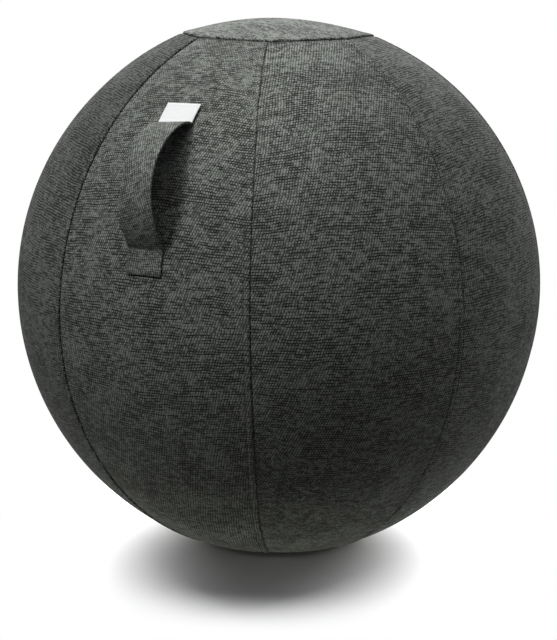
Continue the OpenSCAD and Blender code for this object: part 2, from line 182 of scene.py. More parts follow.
def grey(tree, value):
    """A value as a grey colour."""
    return wire(tree, "CombineXYZ", {0: value, 1: value, 2: value}).outputs[0]


def bump(tree, height, strength, distance):
    """A Bump node's normal."""
    return wire(tree, "Bump", {"Height": height, "Strength": strength, "Distance": distance}).outputs[0]


def mix_colour(tree, factor, a, b, blend="MIX"):
    """Mix two colours. Returns the result."""
    node = wire(tree, "Mix", {0: factor}, data_type="RGBA", blend_type=blend)
    for key, value in ((6, a), (7, b)):
        if isinstance(value, bpy.types.NodeSocket):
            tree.links.new(value, node.inputs[key])
        else:
            node.inputs[key].default_value = value
    return node.outputs[2]


# %% Helpers for node groups
def open_group(name, takes, gives):
    """A node group with named inputs (name: default) and outputs. Returns (tree, inputs, output node)."""
    tree = bpy.data.node_groups.new(name, "ShaderNodeTree")
    kinds = {float: "NodeSocketFloat", tuple: "NodeSocketVector", list: "NodeSocketColor"}
    for label, value in takes.items():
        socket = tree.interface.new_socket(label, in_out="INPUT", socket_type=kinds[type(value)])
        if not isinstance(value, tuple):
            socket.default_value = value
    for label, kind in gives.items():
        tree.interface.new_socket(label, in_out="OUTPUT", socket_type=kinds[kind])
    entry = tree.nodes.new("NodeGroupInput").outputs
    return tree, {label: entry[label] for label in takes}, tree.nodes.new("NodeGroupOutput")


def use_group(tree, group, **values):
    """Place a group in a material; _ in a name stands for a space. Returns its outputs."""
    node = tree.nodes.new("ShaderNodeGroup")
    node.node_tree = group
    for name, value in values.items():
        socket = node.inputs[name.replace("_", " ")]
        if isinstance(value, bpy.types.NodeSocket):
            tree.links.new(value, socket)
        else:
            socket.default_value = value
    return node.outputs


# %% [markdown]
# ## The melange weave
#
# The cover's cloth is woven from a yarn spun of light and dark fibres. From a step away it shows as
# rows of small light dots, 3 mm apart, where the weft floats over the warp. Each row is set a third
# of a dot sideways from the next, which gives the faint diagonals. Where the yarn runs darker or
# lighter for a centimetre or two, the row shows a short streak.
#
# A picture texture could hold this, but a formula has no edges and no repeats: the row and the dot
# number come from rounding down, and noise that reads those whole numbers gives one shade per dot.

# %% Node group: melange weave
def make_melange_weave():
    """Dots on a sheared grid: row = floor(y / Row), dot = floor(x / Column - row / 3); gaps between rows."""
    takes = {
        "Vector": (0, 0, 0), "Column": 3.1 * MM, "Row": 3.15 * MM,
        "Light": [0.238, 0.253, 0.234, 1], "Dark": [0.0055, 0.006, 0.004, 1],
        "Gaps": 1.0, "Patches": 1.0, "Loose": 0.9,
    }
    gives = {"Color": list, "Height": float, "Roughness": float}
    tree, take, give = open_group("melange_weave", takes, gives)
    drift = noise(tree, take["Vector"], 34.0, 1.0)
    aside = wire(tree, "VectorMath", {0: take["Vector"], 1: (3.1, 7.7, 0.4)}).outputs[0]
    sway = noise(tree, aside, 27.0, 1.0)
    shake = noise(tree, aside, 260.0, 1.0)
    flat = wire(tree, "SeparateXYZ", {0: take["Vector"]}).outputs
    across = plus(tree, maths(tree, "DIVIDE", flat[0], take["Column"]), times(tree, sway, 1.6))
    across = plus(tree, across, times(tree, shake, take["Loose"]))
    up = plus(tree, maths(tree, "DIVIDE", flat[1], take["Row"]), times(tree, drift, 1.6))
    row = maths(tree, "FLOOR", up)
    across_row = maths(tree, "SUBTRACT", across, maths(tree, "DIVIDE", row, 3.0))
    dot = maths(tree, "FLOOR", across_row)
    hump = maths(tree, "SINE", times(tree, maths(tree, "FRACT", across_row), math.pi))

    cell = wire(tree, "CombineXYZ", {0: dot, 1: row, 2: 0.0}).outputs[0]
    own = wire(tree, "TexWhiteNoise", {"Vector": cell}, noise_dimensions="3D").outputs["Value"]
    row_place = {0: times(tree, across, 0.24), 1: times(tree, row, 5.37), 2: 4.0}
    row_run = wire(tree, "CombineXYZ", row_place).outputs[0]
    light_run = ramp(tree, noise(tree, row_run, 1.0, 2.0, 0.6), 0.34, 0.66, 0.70, 1.38)

    gap = maths(tree, "FLOOR", plus(tree, up, 0.5))
    from_gap = maths(tree, "ABSOLUTE", maths(tree, "SUBTRACT", up, gap))
    gap_place = {0: times(tree, across, 0.23), 1: times(tree, gap, 7.13), 2: 0.0}
    gap_run = wire(tree, "CombineXYZ", gap_place).outputs[0]
    patch = maths(tree, "SUBTRACT", noise(tree, take["Vector"], 22.0, 3.0), 0.5)
    patch = times(tree, patch, take["Patches"])
    gap_noise = noise(tree, gap_run, 1.0, 2.0, 0.65)
    open_gap = ramp(tree, plus(tree, gap_noise, times(tree, patch, -0.45)), 0.42, 0.57)
    reach = plus(tree, 0.24, times(tree, open_gap, 0.20))
    in_gap = ramp(tree, maths(tree, "DIVIDE", from_gap, reach), 1.0, 0.0)
    depth = times(tree, plus(tree, 0.40, times(tree, open_gap, 0.59)), take["Gaps"])
    rib = maths(tree, "SUBTRACT", 1.0, times(tree, in_gap, depth))

    bead = plus(tree, 0.12, times(tree, maths(tree, "POWER", hump, 1.5), 0.88))
    lift = times(tree, rib, bead)
    shade = times(tree, lift, light_run)
    shade = times(tree, shade, plus(tree, 0.55, times(tree, own, 0.85)))
    shade = times(tree, shade, plus(tree, 1.0, times(tree, patch, 0.6)))
    colour = mix_colour(tree, shade, take["Dark"], take["Light"])
    tree.links.new(colour, give.inputs["Color"])
    tree.links.new(lift, give.inputs["Height"])
    tree.links.new(ramp(tree, lift, 0.0, 1.0, 0.98, 0.80), give.inputs["Roughness"])
    return tree


melange_weave = make_melange_weave()
print("melange weave:", len(melange_weave.nodes), "nodes")

# %% [markdown]
# ## Cloth materials
#
# The shader stays in the material and the group only feeds it. Upholstery weave is matt with a soft
# fibrous rim, which is the Principled shader's sheen. The cloth's own map, measured in metres along
# the cloth, keeps the rows square to each panel, so their direction breaks at every seam.
#
# The left and the right panel carry painted shade, a colour that darkens towards the top, and one
# place on the front carries a painted pool of light, a colour made lighter there. Lamps alone can't
# do this, because they light both sides of a seam alike.

# %% Helpers for materials
def new_material(name):
    """An empty material with its output node. Returns (material, tree, output node)."""
    material = bpy.data.materials.new(name)
    material.use_nodes = True
    tree = material.node_tree
    tree.nodes.clear()
    return material, tree, tree.nodes.new("ShaderNodeOutputMaterial")


def principled(tree, output, sockets):
    """A Principled shader with these sockets, joined to the material's output."""
    surface = wire(tree, "BsdfPrincipled", sockets)
    tree.links.new(surface.outputs[0], output.inputs["Surface"])


# %% Materials from the melange weave
# Heights above the ball's centre over which painted shade darkens the left and right panels.
PAINTED_SHADE_LOW, PAINTED_SHADE_HIGH = 0.04, 0.25
# Where the painted pool of light on the front panel lies, with its core and its reach.
PAINTED_LIGHT_SPOT = (0.104, -0.200, 0.562)
PAINTED_LIGHT_CORE, PAINTED_LIGHT_REACH = 0.02, 0.18


def cloth_material(name, relief=0.5 * MM, painted_top_shade=1.0, painted_light_spot=1.0, **weave):
    """A cloth on the weave. Painted shade multiplies its colour high on the ball, painted light near one
    point.
    """
    material, tree, output = new_material(name)
    place = wire(tree, "UVMap", uv_map="cloth").outputs[0]
    look = dict(use_group(tree, melange_weave, Vector=place, **weave).items())
    # Painted shade darkens the colour above the ball's middle; painted light lightens it near one point.
    if painted_top_shade < 1 or painted_light_spot > 1:
        at = wire(tree, "TexCoord").outputs["Object"]
        up = wire(tree, "SeparateXYZ", {0: at}).outputs[2]
        lean = ramp(tree, maths(tree, "SUBTRACT", up, BALL_Z), PAINTED_SHADE_LOW, PAINTED_SHADE_HIGH, 1.0, painted_top_shade)
        away = wire(tree, "VectorMath", {0: at, 1: PAINTED_LIGHT_SPOT}, operation="DISTANCE").outputs["Value"]
        lean = times(tree, lean, ramp(tree, away, PAINTED_LIGHT_CORE, PAINTED_LIGHT_REACH, painted_light_spot, 1.0))
        look["Color"] = mix_colour(tree, 1.0, look["Color"], grey(tree, lean), "MULTIPLY")
    principled(tree, output, {
        "Base Color": look["Color"], "Roughness": look["Roughness"],
        "Normal": bump(tree, look["Height"], 0.6, relief), "Specular IOR Level": 0.15,
        "Sheen Weight": 0.03, "Sheen Roughness": 0.4, "Sheen Tint": (0.85, 0.88, 0.85, 1),
    })
    return material


# The main cover cloth carries a painted pool of light on the front panel.
cover_cloth = cloth_material("cover_cloth", painted_light_spot=1.36)
# Painted shade: the left and right panels darken towards the top, and the left one's lighter yarn is darker
# still.
cover_painted_shade_left = cloth_material("cover_cloth_painted_shade_left", painted_top_shade=0.59, Light=(0.207, 0.220, 0.203, 1))
cover_painted_shade_right = cloth_material("cover_cloth_painted_shade_right", painted_top_shade=0.84)
# The top panel's lighter yarn is painted light: the same cloth, brightened where light from above falls on
# it.
cover_top_painted_light = cloth_material("cover_cloth_top_painted_light", Light=(0.300, 0.318, 0.296, 1))
strap_cloth = cloth_material(
    "strap_cloth", Column=2.7 * MM, Row=2.7 * MM, Gaps=0.8, Patches=0.6, Light=(0.268, 0.285, 0.263, 1),
)
print("cloth materials:", cover_cloth.name, strap_cloth.name)

# %% [markdown]
# ## Surfaces from arrays
#
# Every new piece is a grid of points worked out with numpy in one go. One helper turns a grid into a
# mesh and gives it the cloth's map; where a surface is cloth, Solidify then gives it its thickness.

# %% Helpers for meshes
def place_mesh(name, points, faces, material, flat=None):
    """A smooth mesh object from points (n, 3), quads or triangles, and an optional map (n, 2)."""
    mesh = bpy.data.meshes.new(name)
    mesh.from_pydata(points.tolist(), [], faces.tolist() if hasattr(faces, "tolist") else faces)
    mesh.polygons.foreach_set("use_smooth", np.ones(len(mesh.polygons), bool))
    if flat is not None:
        corner = np.empty(len(mesh.loops), np.int32)
        mesh.loops.foreach_get("vertex_index", corner)
        layer = mesh.uv_layers.new(name="cloth")
        layer.data.foreach_set("uv", flat[corner].astype(np.float32).ravel())
    mesh.materials.append(material)
    mesh.update()
    piece = bpy.data.objects.new(name, mesh)
    bpy.context.scene.collection.objects.link(piece)
    return piece


def grid_faces(rows, columns, wrap=False):
    """Quads of a grid of rows by columns, numbered row by row; wrap joins the last column to the first."""
    row = np.arange(rows - 1)[:, None] * columns
    left = np.arange(columns if wrap else columns - 1)[None, :]
    right = (left + 1) % columns
    return np.stack([row + left, row + right, row + columns + right, row + columns + left], -1).reshape(-1, 4)


def tube_faces(rows, columns):
    """A wrapped grid's quads and one face over each end, as a list."""
    first = list(range(columns))[::-1]
    last = [(rows - 1) * columns + i for i in range(columns)]
    return grid_faces(rows, columns, wrap=True).tolist() + [first, last]


def run_length(line):
    """How far each point of a line (n, d) is from its start, along it."""
    return np.concatenate([[0], np.cumsum(np.linalg.norm(np.diff(line, axis=0), axis=1))])


def unit(v):
    """Vectors of length 1."""
    return v / np.linalg.norm(v, axis=-1, keepdims=True)


def thicken(piece, depth, even=True):
    """Give a surface its thickness with Solidify, which grows it inwards."""
    solid = piece.modifiers.new("thickness", "SOLIDIFY")
    solid.thickness = depth
    solid.offset = -1
    solid.use_even_offset = even
    return piece


def smoothstep(low, high, value):
    """0 below low, 1 above high, and t * t * (3 - 2 * t) between."""
    t = np.clip((value - low) / (high - low), 0, 1)
    return t * t * (3 - 2 * t)


# %% [markdown]
# ## Side panels
#
# A panel is cut as a pointed strip and sewn to its neighbour with both edges turned to one side. So
# on the left of each seam the cloth stands up over the turned edges and a line of stitches pulls it
# down 7 mm away, while on the right it dips under its neighbour. A carved line or a dark stripe in
# the material would look the same from far away only: here the fold is real, so it catches light.
#
# The grid runs up the panel's curve and across the panel. Its columns are close together beside the
# seams, at set distances in millimetres, and wide apart in the middle. At its top each panel sinks
# a little and runs on under the top panel. The whole cover is also flatter on the ball's right
# shoulder, as the photographed ball is.

# %% Seams of the side panels
LAP = 10 * MM
STITCH_INSET = 7 * MM
SUNK = 2.2 * MM


def seam_wander(seam, t):
    """How far a seam strays sideways, in metres, at an angle t up the curve: two slow waves."""
    start = 2.4 * seam
    return (0.8 * np.sin(3.1 * t + start) + 0.5 * np.sin(7.3 * t + 1.7 * start)) * MM


def lapped_edge(e):
    """Height of the upper layer at a distance e from its folded edge: a ridge, with a dip at the stitches."""
    ridge = 1.5 * (1 - np.exp(-e / (0.7 * MM))) * np.exp(-((e / (8.5 * MM)) ** 2))
    dip = 0.75 * np.exp(-(((e - STITCH_INSET) / (0.9 * MM)) ** 2))
    turn = 0.55 * np.exp(-((e / (0.5 * MM)) ** 2))
    return (ridge - dip - turn) * MM


def covered_edge(s):
    """Height of the lower layer at a distance s past the seam: it goes under its neighbour."""
    return -SUNK * (1 - smoothstep(-1.2 * MM, 2.2 * MM, s))


print(f"a seam's ridge is {1000 * lapped_edge(np.linspace(0, LAP, 50)).max():.1f} mm high")

# %% The top panel's edge, and the shoulder
RIM_SIDE = 115 * MM
RIM_DRAWN = 11.5 * MM
RIM_CORNER = 2.6 * MM
SHOULDER = np.array([0.209, 0.300, 0.931])
SHOULDER_DEPTH = 5 * MM
SHOULDER_ANGLE = math.radians(18)


def rim_line(azimuth):
    """The top panel's edge: nearly round, drawn towards the camera, with a small corner at each seam."""
    towards = np.cos(azimuth - FRONT - VIEW_AZIMUTH)
    from_corner = (azimuth - FRONT) % PANEL_ANGLE - PANEL_ANGLE / 2
    corner = RIM_CORNER * np.exp(-np.abs(from_corner) / 0.13)
    return RIM_SIDE + RIM_DRAWN * np.maximum(towards, 0) ** 2 + corner


def settle(piece):
    """Flatten the ball's right shoulder: points sink by depth * exp(-(angle / 18 degrees)^2)."""
    points = np.empty(len(piece.data.vertices) * 3)
    piece.data.vertices.foreach_get("co", points)
    points = points.reshape(-1, 3)
    out = unit(points - np.array([0, 0, BALL_Z]))
    angle = np.arccos(np.clip(out @ SHOULDER, -1, 1))
    points -= SHOULDER_DEPTH * np.exp(-((angle / SHOULDER_ANGLE) ** 2))[:, None] * out
    piece.data.vertices.foreach_set("co", points.ravel())
    piece.data.update()


nearest, far = [1000 * rim_line(FRONT + corner * PANEL_ANGLE) for corner in (0.5, 4.5)]
print(f"the top panel's corners are {far:.0f} to {nearest:.0f} mm from the middle")

# %% Side panels
TOP_GAP = 0.3 * MM
SEAM_COLUMNS = np.array([0, 0.4, 0.9, 1.5, 2.2, 3, 4, 5, 6, 6.5, 7, 7.5, 8, 9.5, 11.5, 14]) * MM
PANEL_ROWS = 210
MIDDLE_COLUMNS = 26
# Panels whose colour carries painted shade towards the top.
PAINTED_SHADE_PANELS = {3: cover_painted_shade_right, 8: cover_painted_shade_left}


def flat_place(azimuth, z, r):
    """The cloth's map: distance from the panel's middle line, and distance along it, in metres."""
    x, y, up = r * np.cos(azimuth), r * np.sin(azimuth), z - BALL_Z
    size = np.sqrt(x**2 + y**2 + up**2)
    return np.stack([BALL_R * np.arcsin(y / size), BALL_R * np.arctan2(up, x)], -1)


def side_panel(k):
    """Panel k: r = (R + h) cos t - shift and z = (R + h) sin t + centre, turned to the panel's azimuth."""
    low = -math.acos((RIM_R + CURVE_SHIFT) / CURVE_R)
    high = math.acos((TOP_EDGE_R + TOP_GAP + CURVE_SHIFT) / CURVE_R)
    t = np.linspace(low, high, PANEL_ROWS)[:, None]
    width = (CURVE_R * np.cos(t) - CURVE_SHIFT) * PANEL_ANGLE
    near = SEAM_COLUMNS[None, :]
    share = np.linspace(0, 1, MIDDLE_COLUMNS)[None, 1:-1]
    under = np.linspace(-LAP, -0.5 * MM, 8)[None, :] + 0 * t
    middle = near[:, -1:] + share * (width - 2 * near[:, -1:])
    s = np.concatenate([under, near + 0 * t, middle, width - near[:, ::-1]], 1)
    height = lapped_edge(np.maximum(width - s, 0)) + covered_edge(s)
    across = np.clip(s / width, 0, 1)
    pull = seam_wander(k - 1, t) * (1 - across) + seam_wander(k % PANELS, t) * across
    azimuth = ((s + pull) / width - 0.5) * PANEL_ANGLE
    turned = azimuth + FRONT + (k - 1) * PANEL_ANGLE
    past_rim = width / PANEL_ANGLE - rim_line(turned)
    under_top = 1 - smoothstep(-11 * MM, -1 * MM, past_rim)
    height = height * smoothstep(0, 4 * MM, past_rim) - SUNK * under_top
    out = CURVE_R + height
    r = out * np.cos(t) - CURVE_SHIFT
    z = out * np.sin(t) + BALL_Z
    flat = flat_place(azimuth, z, r) + np.array([0.731 * k, 0.517 * k])
    points = np.stack([r * np.cos(turned), r * np.sin(turned), z], -1)
    name = f"side_panel_{k}"
    faces = grid_faces(*s.shape)
    cloth = PAINTED_SHADE_PANELS.get(k, cover_cloth)
    piece = place_mesh("cover_" + name, points.reshape(-1, 3), faces, cloth, flat.reshape(-1, 2))
    settle(piece)
    thicken(piece, 0.9 * MM)
    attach(piece, "cover")
    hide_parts(name)
    return piece


side_panels = [side_panel(k) for k in range(1, PANELS + 1)]
print("side panels:", len(side_panels), "of", len(side_panels[0].data.vertices), "points each")

# %% [markdown]
# ## Top panel
#
# The top panel is lapped over the side panels' ends. It was cut as an octagon, but the air in the
# ball has drawn its edge nearly round, with a small corner left at each seam, and it sits a little
# towards the camera. A flat disc would have to be pressed onto the ball; rings that grow from the
# middle to the rim's line follow the dome from the start and keep the pole tidy.

# %% Top panel
TOP_RINGS = np.concatenate([np.linspace(0.02, 0.86, 26), np.linspace(0.88, 1, 14)])
TOP_SPOKES = 192
TOP_SAG = 1.3 * MM
TOP_LIFT = 0.15 * MM
TOP_WEAVE_TURN = np.array([[0.88, 0.47], [-0.47, 0.88]])


def top_panel():
    """Rings out to the rim's line: z falls from the apex to the rim with the square of the share."""
    spoke = np.arange(TOP_SPOKES) * math.tau / TOP_SPOKES
    rim = rim_line(spoke)[None, :]
    share = TOP_RINGS[:, None]
    r = share * (RIM_SIDE + share**3 * (rim - RIM_SIDE))
    rim_z = np.sqrt(CURVE_R**2 - (rim + CURVE_SHIFT) ** 2) + BALL_Z + TOP_LIFT
    z = rim_z + (TOP_APEX - TOP_SAG - rim_z) * (1 - share**2) + lapped_edge(rim - r) * 0.4
    points = np.stack([r * np.cos(spoke), r * np.sin(spoke), z], -1).reshape(-1, 3)
    points = np.concatenate([points, [[0, 0, TOP_APEX - TOP_SAG]]])
    flat = points[:, :2] @ TOP_WEAVE_TURN + 3.3
    quads = grid_faces(*r.shape, wrap=True).tolist()
    pole = len(points) - 1
    fan = [[pole, i, (i + 1) % TOP_SPOKES] for i in range(TOP_SPOKES)]
    piece = place_mesh("cover_top_panel", points, quads + fan, cover_top_painted_light, flat)
    settle(piece)
    thicken(piece, 1.6 * MM, even=False)
    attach(piece, "cover")
    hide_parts("top_panel")
    return piece


top = top_panel()
print("top panel:", len(top.data.polygons), "faces")

# %% [markdown]
# ## The handle
#
# The handle is one doubled strap, sewn flat at both ends and standing off the ball between them. Its
# line is a curve with two end points and two pulls, and its two edges have slightly different
# pulls, because the real strap is twisted a little. The section is carried along that line: a flat
# bar with round corners and a groove down each side, where its two layers meet.

# %% The handle's line
STRAP_W = 44 * MM
STRAP_T = 2.4 * MM
TAB_LEN = 30 * MM
LAYER = 0.1 * MM
UPPER_ANGLE = math.radians(40.4)
LOWER_ANGLE = math.radians(15.1)
TAB_ANGLE = TAB_LEN / CURVE_R
LABEL_ANGLE = 0.91 * TAB_ANGLE
LOW_TAB_ANGLE = 0.94 * TAB_ANGLE
LEAN = 2.6 * MM
CROWN = 0.5 * MM
STRAP_MID_R = CURVE_R + LAYER + STRAP_T / 2
HIGH_PULL, HIGH_TWIST = np.array([275.7, 233.9]) * MM, np.array([-14.5, 3.5]) * MM
LOW_PULL, LOW_TWIST = np.array([375.9, 173.2]) * MM, np.array([11.7, 18.8]) * MM


def on_curve(angle, radius=STRAP_MID_R):
    """Distance out from the axis, and height, at an angle up the front panel's curve."""
    return np.stack([radius * np.cos(angle) - CURVE_SHIFT, radius * np.sin(angle) + BALL_Z], -1)


def strap_line(side):
    """The strap's middle layer at side -1 to 1 across it: tab, Bezier arch, tab, as (out, height) points."""
    side = np.asarray(side)[:, None]
    root_high, root_low = on_curve(UPPER_ANGLE), on_curve(LOWER_ANGLE)
    aim_high = HIGH_PULL + HIGH_TWIST * side + [0, BALL_Z]
    aim_low = LOW_PULL + LOW_TWIST * side + [0, BALL_Z]
    t = np.linspace(0, 1, 90)[:, None, None]
    back = 1 - t
    arch = back**3 * root_high + 3 * back**2 * t * aim_high + 3 * back * t**2 * aim_low + t**3 * root_low
    across = np.ones((1, len(side), 1))
    high_end = UPPER_ANGLE + LABEL_ANGLE - 0.004
    low_end = LOWER_ANGLE - LOW_TAB_ANGLE
    tab_high = on_curve(np.linspace(high_end, UPPER_ANGLE, 16, endpoint=False))[:, None] * across
    tab_low = on_curve(np.linspace(LOWER_ANGLE, low_end, 17)[1:])[:, None] * across
    return np.concatenate([tab_high, arch, tab_low])


# %% The handle's section, swept along its line
def strap_section():
    """The section as (side -1 to 1, depth -1 to 1): round corners, a groove in the middle of each side."""
    turn = np.linspace(0, math.pi, 12)
    edge = 1 - 0.028 * (1 - np.sin(turn)) - 0.022 * np.exp(-(((turn - math.pi / 2) / 0.22) ** 2))
    flat = np.linspace(-0.94, 0.94, 25)
    side = np.concatenate([edge, flat[::-1], -edge, flat])
    depth = np.concatenate([np.cos(turn), -np.ones(25), -np.cos(turn), np.ones(25)])
    return side, depth


def make_handle():
    """The section swept along the line: point = line(side) + normal * depth * half thickness."""
    side, depth = strap_section()
    line = strap_line(side)
    way = unit(np.gradient(line, axis=0))
    normal = np.stack([-way[..., 1], way[..., 0]], -1)
    middle = (UPPER_ANGLE + LOWER_ANGLE) / 2
    outward = np.sign((normal @ [math.cos(middle), math.sin(middle)]).mean())
    length = run_length(line.mean(1))
    crown = (1 - side**2) * CROWN * np.sin(math.pi * length / length[-1])[:, None] ** 2
    place = line + outward * normal * (depth * STRAP_T / 2 + crown)[..., None]
    lean = LEAN * smoothstep(0.25, 0.8, length / length[-1])[:, None]
    x = np.broadcast_to(side * STRAP_W / 2, place.shape[:2]) + lean
    points = np.stack([x, -place[..., 0], place[..., 1]], -1)
    flat = np.stack([np.where(depth > 0, x, -x) + 0.05, np.broadcast_to(length[:, None], x.shape)], -1)
    faces = tube_faces(*x.shape)
    piece = place_mesh("handle", points.reshape(-1, 3), faces, strap_cloth, flat.reshape(-1, 2))
    print(f"handle: {1000 * length[-1]:.0f} mm of strap")
    return piece


handle = make_handle()

# %% The chord between the handle's roots, the frame's handle pieces hidden, the handle's placement baked
chord = on_curve(UPPER_ANGLE) - on_curve(LOWER_ANGLE)
chord /= np.linalg.norm(chord)
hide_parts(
    "handle_strap", "handle_root_upper", "handle_root_lower", "handle_tab_upper", "handle_tab_lower",
)
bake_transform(handle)

# %% [markdown]
# ## Stitches
#
# A machine stitch is a short length of thread that goes into the cloth at both ends. Each one is a
# small closed capsule of 27 faces, copied along its line in one array operation. The seams' stitches
# lie in the dip that their own pull makes, so they show as a faint row and not as a bead.

# %% Thread
def plain_material(name, colour, roughness, metallic=0.0, grain=900.0, relief=0.1 * MM, vary=0.12, level=0.3):
    """A plain finish whose shade, roughness and surface vary a little with noise."""
    material, tree, output = new_material(name)
    place = wire(tree, "TexCoord").outputs["Object"]
    fine = noise(tree, place, grain, 3.0)
    broad = noise(tree, place, grain / 12, 2.0)
    shade = ramp(tree, broad, 0.3, 0.7, 1 - vary, 1 + vary)
    principled(tree, output, {
        "Base Color": mix_colour(tree, 1.0, (*colour, 1), grey(tree, shade), "MULTIPLY"),
        "Roughness": ramp(tree, fine, 0.2, 0.8, roughness - 0.06, roughness + 0.06),
        "Metallic": metallic, "Normal": bump(tree, fine, 0.5, relief), "Specular IOR Level": level,
    })
    return material


dark_thread = plain_material("dark_thread", (0.045, 0.046, 0.042), 0.7, grain=2500.0)
pale_thread = plain_material("pale_thread", (0.72, 0.72, 0.69), 0.6, grain=2500.0)


# %% Stitches along a line
STITCH_LEN = 3.0 * MM
STITCH_PITCH = 3.7 * MM


def stitches(name, lines, thread, radius=0.36 * MM):
    """Capsules on (centre, direction, outward) arrays: point = centre + x along + y sideways + z outwards."""
    step = np.array([-0.5, -0.4, -0.15, 0.15, 0.4, 0.5]) * STITCH_LEN
    girth = np.array([0.30, 0.8, 1, 1, 0.8, 0.30]) * radius
    sink = np.array([-1.0, -0.5, 0, 0, -0.5, -1.0]) * radius
    turn = np.arange(5) * math.tau / 5
    x = np.repeat(step, 5)
    y = (girth[:, None] * np.cos(turn)).ravel()
    z = (girth[:, None] * np.sin(turn) + sink[:, None]).ravel()
    centre, along, out = [np.concatenate(parts) for parts in zip(*lines)]
    aside = np.cross(out, along)
    points = centre[:, None] + x[:, None] * along[:, None] + y[:, None] * aside[:, None]
    points = points + z[:, None] * out[:, None]
    quads = grid_faces(6, 5, wrap=True)
    ends = [[4, 3, 2, 1, 0], [25, 26, 27, 28, 29]]
    faces = []
    for first in range(0, 30 * len(centre), 30):
        faces += (quads + first).tolist() + [[first + i for i in end] for end in ends]
    piece = place_mesh(name, points.reshape(-1, 3), faces, thread)
    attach(piece, "cover")
    return piece


# %% Stitches of the seams
def on_ball(azimuth, t, height=0.0):
    """Points of the side panels' curve, and the outward direction there."""
    out = np.stack([np.cos(t) * np.cos(azimuth), np.cos(t) * np.sin(azimuth), np.sin(t)], -1)
    shift = CURVE_SHIFT * np.stack([np.cos(azimuth), np.sin(azimuth), 0 * azimuth], -1)
    return (CURVE_R + height) * out - shift + np.array([0, 0, BALL_Z]), out


def seam_line(seam):
    """Stitches 7 mm beside one seam, on the panel that lies on top."""
    low = -math.acos((RIM_R + CURVE_SHIFT) / CURVE_R) + 0.012
    rim = rim_line(FRONT + (seam - 0.5) * PANEL_ANGLE)
    high = math.acos((rim + 2 * MM + CURVE_SHIFT) / CURVE_R)
    t = np.arange(low, high, STITCH_PITCH / CURVE_R)
    width = (CURVE_R * np.cos(t) - CURVE_SHIFT) * PANEL_ANGLE
    azimuth = FRONT + (seam - 0.5 + (seam_wander(seam % PANELS, t) - STITCH_INSET) / width) * PANEL_ANGLE
    centre, out = on_ball(azimuth, t, 0.1 * MM)
    along = unit(np.gradient(centre, axis=0))
    return centre, along, unit(out - (out * along).sum(-1, keepdims=True) * along)


seam_stitches = stitches("seam_stitches", [seam_line(k) for k in range(1, PANELS + 1)], dark_thread)
settle(seam_stitches)
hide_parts("seam_stitching")
print("seam stitches:", len(seam_stitches.data.vertices) // 30)

# %% Stitches of the lower tab
def tab_line(x, angle, height):
    """Stitches along a line on the front panel, from equal-length arrays of x and angle."""
    r = CURVE_R + height
    centre = np.stack([x, -(r * np.cos(angle) - CURVE_SHIFT), r * np.sin(angle) + BALL_Z], -1)
    out = np.stack([0 * angle, -np.cos(angle), np.sin(angle)], -1)
    return centre, unit(np.gradient(centre, axis=0)), out


def straight(x0, x1, a0, a1, height):
    """A straight run of stitches from (x0, a0) to (x1, a1)."""
    length = math.hypot(x1 - x0, (a1 - a0) * CURVE_R)
    share = np.linspace(0.02, 0.98, max(3, round(length / STITCH_PITCH)))
    return tab_line(x0 + share * (x1 - x0), a0 + share * (a1 - a0), height)


TAB_TOP = 2 * LAYER + STRAP_T
STITCH_EDGE = 3 * MM
left = LEAN - STRAP_W / 2 + STITCH_EDGE
right = LEAN + STRAP_W / 2 - STITCH_EDGE
low = LOWER_ANGLE - LOW_TAB_ANGLE + STITCH_EDGE / CURVE_R
high = LOWER_ANGLE - STITCH_EDGE / CURVE_R
tab_runs = [
    straight(left, right, low, low, TAB_TOP), straight(left, right, high, high, TAB_TOP),
    straight(left, left, low, high, TAB_TOP), straight(right, right, low, high, TAB_TOP),
]
tab_stitches = stitches("handle_stitches", tab_runs, dark_thread, 0.3 * MM)
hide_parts("handle_stitching")
print("tab stitches:", len(tab_stitches.data.vertices) // 30)

# %% [markdown]
# ## The label
#
# The label is a tab of white woven tape, sewn down each side over the strap's upper end. It stays
# blank. Its ribs are finer than the cover's, and its ends are folded under, so they are thicker.

# %% Label tape
def label_material():
    """White tape with fine ribs: two sines cross to a plain weave."""
    material, tree, output = new_material("label_tape")
    flat = wire(tree, "SeparateXYZ", {0: wire(tree, "UVMap", uv_map="cloth").outputs[0]}).outputs
    rib_x = maths(tree, "SINE", times(tree, flat[0], math.tau / (0.55 * MM)))
    rib_y = maths(tree, "SINE", times(tree, flat[1], math.tau / (0.75 * MM)))
    height = times(tree, rib_x, rib_y)
    shade = ramp(tree, height, -1.0, 1.0)
    principled(tree, output, {
        "Base Color": mix_colour(tree, shade, (0.86, 0.865, 0.87, 1), (0.95, 0.95, 0.95, 1)),
        "Roughness": 0.75, "Normal": bump(tree, height, 0.4, 0.05 * MM), "Specular IOR Level": 0.2,
    })
    return material


# %% A sheet on the front panel
def patch_sheet(name, half_w, x_shift, angles, height, material, corner=1.2 * MM, fold=0.0, lean=0.0):
    """A sheet on the front panel's curve: round corners, ends folded thicker if wanted, a sideways lean."""
    rows, columns = 40, 44
    v = np.linspace(0, 1, rows)[:, None]
    u = np.linspace(-1, 1, columns)[None, :]
    length = (angles[1] - angles[0]) * CURVE_R
    from_end = np.minimum(v, 1 - v) * length
    inset = corner - np.sqrt(np.maximum(corner**2 - np.maximum(corner - from_end, 0) ** 2, 0))
    x = u * (half_w - inset) + x_shift + lean * v
    angle = angles[0] + v * (angles[1] - angles[0]) + 0 * u
    lift = height + fold * (1 - smoothstep(3.5 * MM, 4.2 * MM, from_end)) + 0 * u
    r = CURVE_R + lift
    points = np.stack([x, -(r * np.cos(angle) - CURVE_SHIFT), r * np.sin(angle) + BALL_Z], -1)
    flat = np.stack([x, v * length + 0 * u], -1)
    piece = place_mesh(name, points.reshape(-1, 3), grid_faces(rows, columns), material, flat.reshape(-1, 2))
    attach(piece, "cover")
    return piece


